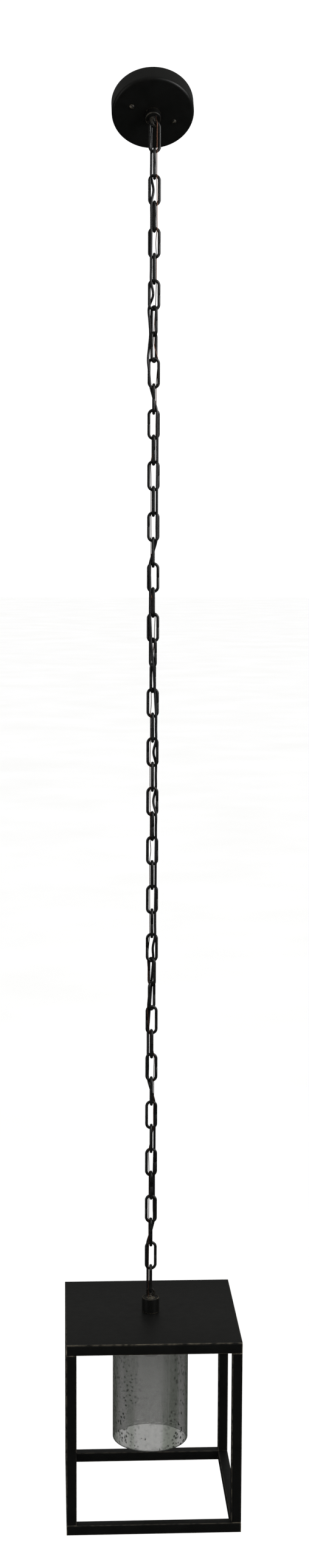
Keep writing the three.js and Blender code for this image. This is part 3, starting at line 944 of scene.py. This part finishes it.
class LANTERN_OT_canopy_fittings(bpy.types.Operator):
    """Mounting strap, ground screw, nipple and lock nut inside the canopy"""
    bl_idname = "lantern.canopy_fittings"
    bl_label = "Canopy fittings"

    def execute(self, context):
        plated = zinc()
        repaint("mounting_strap", plated)
        in_strap = Matrix.Translation(Vector((19, 0, -2.32)) * MM)
        slotted_screw(
            "ground_screw_slotted", CANOPY_PLACE @ z_turn(SCREW_TURN) @ in_strap, head=3.6 * MM,
            shank=1.6 * MM, length=2.3 * MM, slot_turn=12, finish=green_zinc(),
            node="ground_screw")
        threaded_nipple("canopy_threaded_nipple", -32 * MM, 0, CANOPY_PLACE, "canopy", plated,
                        "canopy_nipple")
        lock_nut("canopy_hex_nut", -6.6 * MM, -2.6 * MM, CANOPY_PLACE, "canopy", plated,
                 "canopy_locknut")
        return {"FINISHED"}


def link_pattern(seam_depth):
    """One chain link standing upright: round wire bent to a long loop, its ends butted on one
    leg, where a shallow seam shows."""
    bend = LINK_WIDTH / 2 - LINK_WIRE
    segments = 28
    link = begin(
        "link_pattern", bpy.ops.mesh.primitive_torus_add, major_radius=bend,
        minor_radius=LINK_WIRE - LINK_SLACK, major_segments=segments, minor_segments=14)
    link.matrix_world = (
        Matrix.Rotation(math.pi / 2, 4, "X") @ Matrix.Rotation(math.pi / segments, 4, "Z"))
    select_only(link)
    apply_transform()
    narrowed = 1 - seam_depth / LINK_WIRE
    with editing(link):
        for sign in (-1, 1):
            choose(link, "verts", lambda vertex: vertex.co.z * sign > 0)
            bpy.ops.transform.translate(value=(0, 0, sign * (LINK_LENGTH - LINK_WIDTH) / 2))
        for z in (-SEAM_REACH, 0, SEAM_REACH):
            choose(link, "faces", lambda face: face.calc_center_median().x > 0 and (
                min(v.co.z for v in face.verts) < z < max(v.co.z for v in face.verts)))
            bpy.ops.mesh.bisect(plane_co=(0, 0, z), plane_no=(0, 0, 1))
        choose(link, "verts", lambda vertex: vertex.co.x > 0 and abs(vertex.co.z) < 0.1 * MM)
        bpy.ops.transform.resize(
            value=(narrowed, narrowed, 1), center_override=(bend, 0, 0))
    return link


class LANTERN_OT_chain(bpy.types.Operator):
    """The links of the chain, each a piece of its own on the run that it belongs to"""
    bl_idname = "lantern.chain"
    bl_label = "Chain"

    def execute(self, context):
        settings = context.scene.lantern_metal
        lacquer = chain_lacquer(settings.lacquer)
        pattern = link_pattern(settings.seam_depth)
        chance = random.Random(47)
        for i in range(1, LINK_COUNT + 1):
            run = run_of(i)
            flipped = (Matrix.Rotation(math.pi * chance.randrange(2), 4, "Z")
                       @ Matrix.Rotation(math.pi * chance.randrange(2), 4, "X"))
            link = copied(pattern, f"chain_link_{i:02d}", flipped)
            place = (Matrix.Translation(CHAIN_ORIGIN + Vector((0, 0, LINK_CENTRE[i])))
                     @ Matrix.Rotation(link_turn(i), 4, "Z"))
            settle(link, place, f"chain_{run}", lacquer, [RUN_NODES[run - 1]], angle=60)
        discard(pattern)
        return {"FINISHED"}


class LANTERN_OT_cord(bpy.types.Operator):
    """The supply cord, woven down the chain from the canopy to the lamp holder"""
    bl_idname = "lantern.cord"
    bl_label = "Supply cord"

    def execute(self, context):
        settings = context.scene.lantern_cord
        top = in_canopy([
            (-0.9, 0, -6), (-0.9, 0, -20), (-0.9, 0, -31.2), (-2.6, 2.2, -34.6),
            (-4.95, 4.95, -38.2), (-4.95, 4.95, -42.5),
        ])
        foot = in_lantern([
            (*CORD_HOLE, LANTERN_SEAT + 1.2 * MM), (*CORD_HOLE, LANTERN_SEAT - 5 * MM),
            (*(CORD_HOLE * 0.5), LANTERN_SEAT - 12 * MM), (-0.9 * MM, 0, LANTERN_SEAT - 21 * MM),
            (-0.9 * MM, 0, LANTERN_SEAT - 28 * MM), (-0.9 * MM, 0, STRAND_END),
        ])
        hang_strand("cord", top + CORD_ROUTE + foot, settings.cord_radius, settings.step,
                    cord_vinyl(settings.jacket))
        return {"FINISHED"}


class LANTERN_OT_ground_wire(bpy.types.Operator):
    """The bare ground wire, woven down the chain beside the cord"""
    bl_idname = "lantern.ground_wire"
    bl_label = "Ground wire"

    def execute(self, context):
        settings = context.scene.lantern_cord
        top = in_canopy([
            (2.5, 0, -6), (2.5, 0, -20), (2.5, 0, -32.5), (3.2, -2.3, -35), (3.9, -4.6, -38),
            (3.9, -4.6, -42.5),
        ])
        foot = in_lantern([
            (*GROUND_HOLE, LANTERN_SEAT + 1.2 * MM), (*GROUND_HOLE, LANTERN_SEAT - 6 * MM),
            (2.5 * MM, 0, LANTERN_SEAT - 20 * MM), (2.5 * MM, 0, LANTERN_SEAT - 28 * MM),
            (2.5 * MM, 0, STRAND_END),
        ])
        hang_strand("ground_wire", top + GROUND_ROUTE + foot, settings.ground_radius,
                    settings.step, copper())
        return {"FINISHED"}


class LANTERN_OT_hanger(bpy.types.Operator):
    """The collar on the lantern's top and the eye that stands on it"""
    bl_idname = "lantern.hanger"
    bl_label = "Collar and eye"

    def execute(self, context):
        coat = metal_paint(context)
        standing = LANTERN_PLACE @ Matrix.Translation((0, 0, FRAME_TOP + GAP))
        collar = lathe("hanger_collar", COLLAR, curve=5, steps=64)
        settle(collar, standing, "lantern", coat, ["loop_collar"])
        seat = LANTERN_PLACE @ Matrix.Translation((0, 0, LANTERN_SEAT))
        cast_eye("lantern_eye", seat @ z_turn(LANTERN_EYE_TURN), "lantern", coat, "lantern_loop")
        dish = LANTERN_PLACE @ Matrix.Translation((0, 0, LANTERN_SEAT - DISH_DEPTH))
        for strand, hole, radius in (
            ("cord", CORD_HOLE, CORD_MM), ("ground", GROUND_HOLE, GROUND_MM),
        ):
            cord_bushing(f"lantern_{strand}_bushing", hole, radius, dish, "lantern", phenolic())
        return {"FINISHED"}


def mitred_rail(name, low, high, radius):
    """The front rail between two heights, with both ends cut at 45 degrees."""
    rail = bar(name, (-HALF_WIDTH, -HALF_WIDTH, low), (HALF_WIDTH, TUBE - HALF_WIDTH, high),
               radius, 0)
    with editing(rail):
        for sign in (-1, 1):
            bpy.ops.mesh.select_all(action="SELECT")
            bpy.ops.mesh.bisect(plane_co=(sign * HALF_WIDTH, -HALF_WIDTH, 0),
                                plane_no=(sign, 1, 0), use_fill=True, clear_outer=True)
    return rail


class LANTERN_OT_cube(bpy.types.Operator):
    """The cube frame of square tube and its top plate"""
    bl_idname = "lantern.cube"
    bl_label = "Cube frame"

    def execute(self, context):
        coat = metal_paint(context)
        radius = context.scene.lantern_metal.edge_radius
        plate = block("frame_top_sheet", (-HALF_WIDTH, -HALF_WIDTH, PLATE_UNDER),
                      (HALF_WIDTH, HALF_WIDTH, FRAME_TOP))
        apply_modifier(plate, "BEVEL", width=0.6 * MM, segments=3, limit_method="ANGLE")
        settle(plate, LANTERN_PLACE, "lantern", coat, ["top_plate"])
        rails = {
            "top": mitred_rail("top_rail", RAIL_TOP, PLATE_UNDER, radius),
            "bottom": mitred_rail("bottom_rail", 0, TUBE, radius),
        }
        corner = -HALF_WIDTH + TUBE
        post = bar("post", (-HALF_WIDTH, -HALF_WIDTH, TUBE), (corner, corner, RAIL_TOP),
                   radius, 2)
        for k, side in enumerate(("front", "right", "back", "left")):
            for level, pattern in rails.items():
                rail = copied(pattern, f"frame_{level}_{side}_tube", z_turn(90 * k))
                settle(rail, LANTERN_PLACE, "lantern", coat, [f"{level}_rail_{side}"])
        for k, place in enumerate(("front_left", "front_right", "back_right", "back_left")):
            upright = copied(post, f"frame_{place}_tube", z_turn(90 * k))
            settle(upright, LANTERN_PLACE, "lantern", coat, [f"post_{place}"])
        discard(*rails.values(), post)
        return {"FINISHED"}


class LANTERN_OT_lamp_holder(bpy.types.Operator):
    """Nipple, nut, cap, socket, ring, screw shell and contact above and inside the glass"""
    bl_idname = "lantern.lamp_holder"
    bl_label = "Lamp holder"

    def execute(self, context):
        coat, plated, moulded, drawn = metal_paint(context), zinc(), phenolic(), brass()
        threaded_nipple("lantern_threaded_nipple", 300 * MM, 315.3 * MM, LANTERN_PLACE, "lantern",
                        plated, "stem_nipple")
        lock_nut("lantern_hex_nut", 306.2 * MM, 310.2 * MM, LANTERN_PLACE, "lantern", plated,
                 "stem_locknut")
        for piece, finish, node in (
            (lathe("socket_cap_spun", SOCKET_CAP, steps=64), coat, "socket_cap"),
            (lathe("lamp_socket_moulded", SOCKET, 3, 56), moulded, "lamp_socket"),
            (lathe("glass_retaining_ring", RETAINING_RING, 3, 56), moulded, "socket_ring"),
            (spun("screw_shell_rolled", in_mm(SCREW_SHELL)), drawn, "screw_shell"),
            (spun("centre_contact_sprung", in_mm(CONTACT), 32, False), drawn, "centre_contact"),
        ):
            settle(piece, LANTERN_PLACE, "lantern", finish, [node])
        return {"FINISHED"}


class LANTERN_OT_glass(bpy.types.Operator):
    """The smoked glass cylinder and the seeds in its wall"""
    bl_idname = "lantern.glass"
    bl_label = "Glass"

    def execute(self, context):
        settings = context.scene.lantern_glass
        glass = lathe("glass_cylinder", GLASS, curve=6, steps=144)
        settle(glass, LANTERN_PLACE, "lantern", smoked_glass(settings.tint), ["glass_shade"],
               angle=50)
        chance = random.Random(122)
        seeds = []
        lowest, reach = SEED_HEIGHTS
        for k in range(settings.seeds):
            size = settings.seed_size * (0.4 + 0.6 * chance.random() ** 2)
            # More of them on the left and towards the open rim, each flat in the wall.
            turn = math.radians(chance.gauss(*SEED_TURNS))
            height = (lowest + reach * chance.random() ** 1.7) * MM
            radius = (GLASS_WALL + chance.uniform(-0.3, 0.3)) * MM
            seed = begin(f"seed_{k}", bpy.ops.mesh.primitive_ico_sphere_add, subdivisions=2,
                         radius=size)
            seed.matrix_world = (
                LANTERN_PLACE @ Matrix.Rotation(turn, 4, "Z")
                @ Matrix.Translation((radius, 0, height))
                @ Matrix.Diagonal((0.5, 0.9, chance.uniform(0.9, 1.7), 1)))
            seeds.append(seed)
        if seeds:
            bpy.ops.object.select_all(action="DESELECT")
            for seed in seeds:
                seed.select_set(True)
            bpy.context.view_layer.objects.active = seeds[0]
            bpy.ops.object.join()
            seeds[0].name = "glass_seeds"
            settle(seeds[0], Matrix.Identity(4), "lantern", seed_glass(), angle=80)
        return {"FINISHED"}


# ---- stage -------------------------------------------------------------------------------------
CAMERA_LENS = 48.52                          # millimetres
CAMERA_PLACE = Vector((-160.0, -3280.9, 1592.8)) * MM    # from the lantern's underside
CAMERA_TURNS = (-2.85, -7.30, -0.21)         # yaw, pitch, roll in degrees
CAMERA_REACH = 200                           # farthest that the camera sees
FLOOR_DROP = 0.9                             # floor below the lantern
FLOOR_SIZE = 120
CHAIN_MIDDLE = Vector((0, 0, -0.5))
# Each softbox: name, place, the point that it faces, width, height and watts.
SOFTBOXES = (
    ("key_right", (1.9, -1.5, -0.1), CHAIN_MIDDLE, 0.9, 2.2, 24),
    ("fill_left", (-2.2, -1.2, -0.9), CHAIN_MIDDLE, 0.5, 2.4, 6),
    ("lantern_top", (0.9, -0.6, FRAME_FLOOR + 2.2), LANTERN_ORIGIN + Vector((0, 0, 0.2)),
     1.0, 1.0, 7),
)
WORLD_STRENGTH = 1.12
# The room that paint mirrors, from straight down to straight up.
ROOM = (
    (0.0, (0.006, 0.006, 0.006, 1)), (0.5, (0.012, 0.012, 0.012, 1)),
    (0.56, (0.02, 0.02, 0.02, 1)), (0.66, (0.12, 0.12, 0.115, 1)),
    (1.0, (0.17, 0.17, 0.165, 1)),
)


def softbox(name, place, target, width, height, power):
    """A large soft rectangular light that faces a point."""
    bpy.ops.object.select_all(action="DESELECT")
    bpy.ops.object.light_add(type="AREA", location=place)
    lamp = bpy.context.object
    lamp.name = name
    lamp.data.shape = "RECTANGLE"
    lamp.data.size, lamp.data.size_y = width, height
    lamp.data.energy = power
    lamp.visible_camera = False
    aim = target - Vector(place)
    lamp.rotation_euler = aim.to_track_quat("-Z", "Y").to_euler()


def studio_world():
    """White all round for what is lit or seen through glass, and a dim room for reflections,
    so that black paint stays black."""
    world = bpy.data.worlds.new("studio")
    bpy.context.scene.world = world
    world.use_nodes = True
    tree = world.node_tree
    tree.nodes.clear()
    direction = add_node(tree, "ShaderNodeTexCoord").outputs["Generated"]
    height = add_node(tree, "ShaderNodeSeparateXYZ", {"Vector": direction}).outputs["Z"]
    room = tones(tree, spread(tree, height, 0, 1, -1, 1), ROOM)
    mirrored = add_node(tree, "ShaderNodeLightPath").outputs["Is Glossy Ray"]
    colour = mixed(tree, mirrored, (1, 1, 1, 1), room)
    background = add_node(
        tree, "ShaderNodeBackground", {"Color": colour, "Strength": WORLD_STRENGTH})
    add_node(tree, "ShaderNodeOutputWorld", {"Surface": background.outputs["Background"]})


class LANTERN_OT_stage(bpy.types.Operator):
    """Floor, soft lights and camera"""
    bl_idname = "lantern.stage"
    bl_label = "Stage"

    def execute(self, context):
        scene = context.scene
        scene.view_settings.view_transform = "Standard"
        floor = begin("studio_floor", bpy.ops.mesh.primitive_plane_add, size=FLOOR_SIZE,
                      location=(0, 0, FRAME_FLOOR - FLOOR_DROP))
        floor.data.materials.append(matte_floor())
        floor.visible_glossy = False
        studio_world()
        for settings in SOFTBOXES:
            softbox(*settings)
        yaw, pitch, roll = (math.radians(turn) for turn in CAMERA_TURNS)
        aim = (Matrix.Rotation(yaw, 4, "Z") @ Matrix.Rotation(pitch, 4, "X")
               @ Matrix.Rotation(roll, 4, "Y") @ Matrix.Rotation(math.pi / 2, 4, "X"))
        bpy.ops.object.select_all(action="DESELECT")
        bpy.ops.object.camera_add()
        camera = bpy.context.object
        camera.name = "camera"
        camera.matrix_world = Matrix.Translation(LANTERN_ORIGIN + CAMERA_PLACE) @ aim
        camera.data.lens = CAMERA_LENS
        camera.data.clip_end = CAMERA_REACH
        scene.camera = camera
        return {"FINISHED"}


# ---- panel and registration ----------------------------------------------------------------------
OPERATORS = (
    LANTERN_OT_canopy, LANTERN_OT_canopy_fittings, LANTERN_OT_chain, LANTERN_OT_cord,
    LANTERN_OT_ground_wire, LANTERN_OT_hanger, LANTERN_OT_cube, LANTERN_OT_lamp_holder,
    LANTERN_OT_glass, LANTERN_OT_stage,
)
GROUPS = {
    "lantern_metal": LanternMetal, "lantern_cord": LanternCord, "lantern_glass": LanternGlass,
}


class LANTERN_PT_build(bpy.types.Panel):
    """Sizes, colours and steps of the hanging lantern"""
    bl_idname = "LANTERN_PT_build"
    bl_label = "Hanging lantern"
    bl_space_type = "VIEW_3D"
    bl_region_type = "UI"
    bl_category = "Lantern"

    def draw(self, context):
        layout = self.layout
        for group, kind in GROUPS.items():
            for setting in kind.__annotations__:
                layout.prop(getattr(context.scene, group), setting)
        for operator in OPERATORS:
            layout.operator(operator.bl_idname)


def register():
    for kind in (*GROUPS.values(), *OPERATORS, LANTERN_PT_build):
        bpy.utils.register_class(kind)
    for group, kind in GROUPS.items():
        setattr(bpy.types.Scene, group, PointerProperty(type=kind))


def unregister():
    for group in GROUPS:
        delattr(bpy.types.Scene, group)
    for kind in (LANTERN_PT_build, *reversed(OPERATORS), *GROUPS.values()):
        bpy.utils.unregister_class(kind)


def main():
    register()
    for operator in OPERATORS:
        getattr(bpy.ops.lantern, operator.bl_idname.split(".")[1])()


if __name__ == "__main__":
    main()
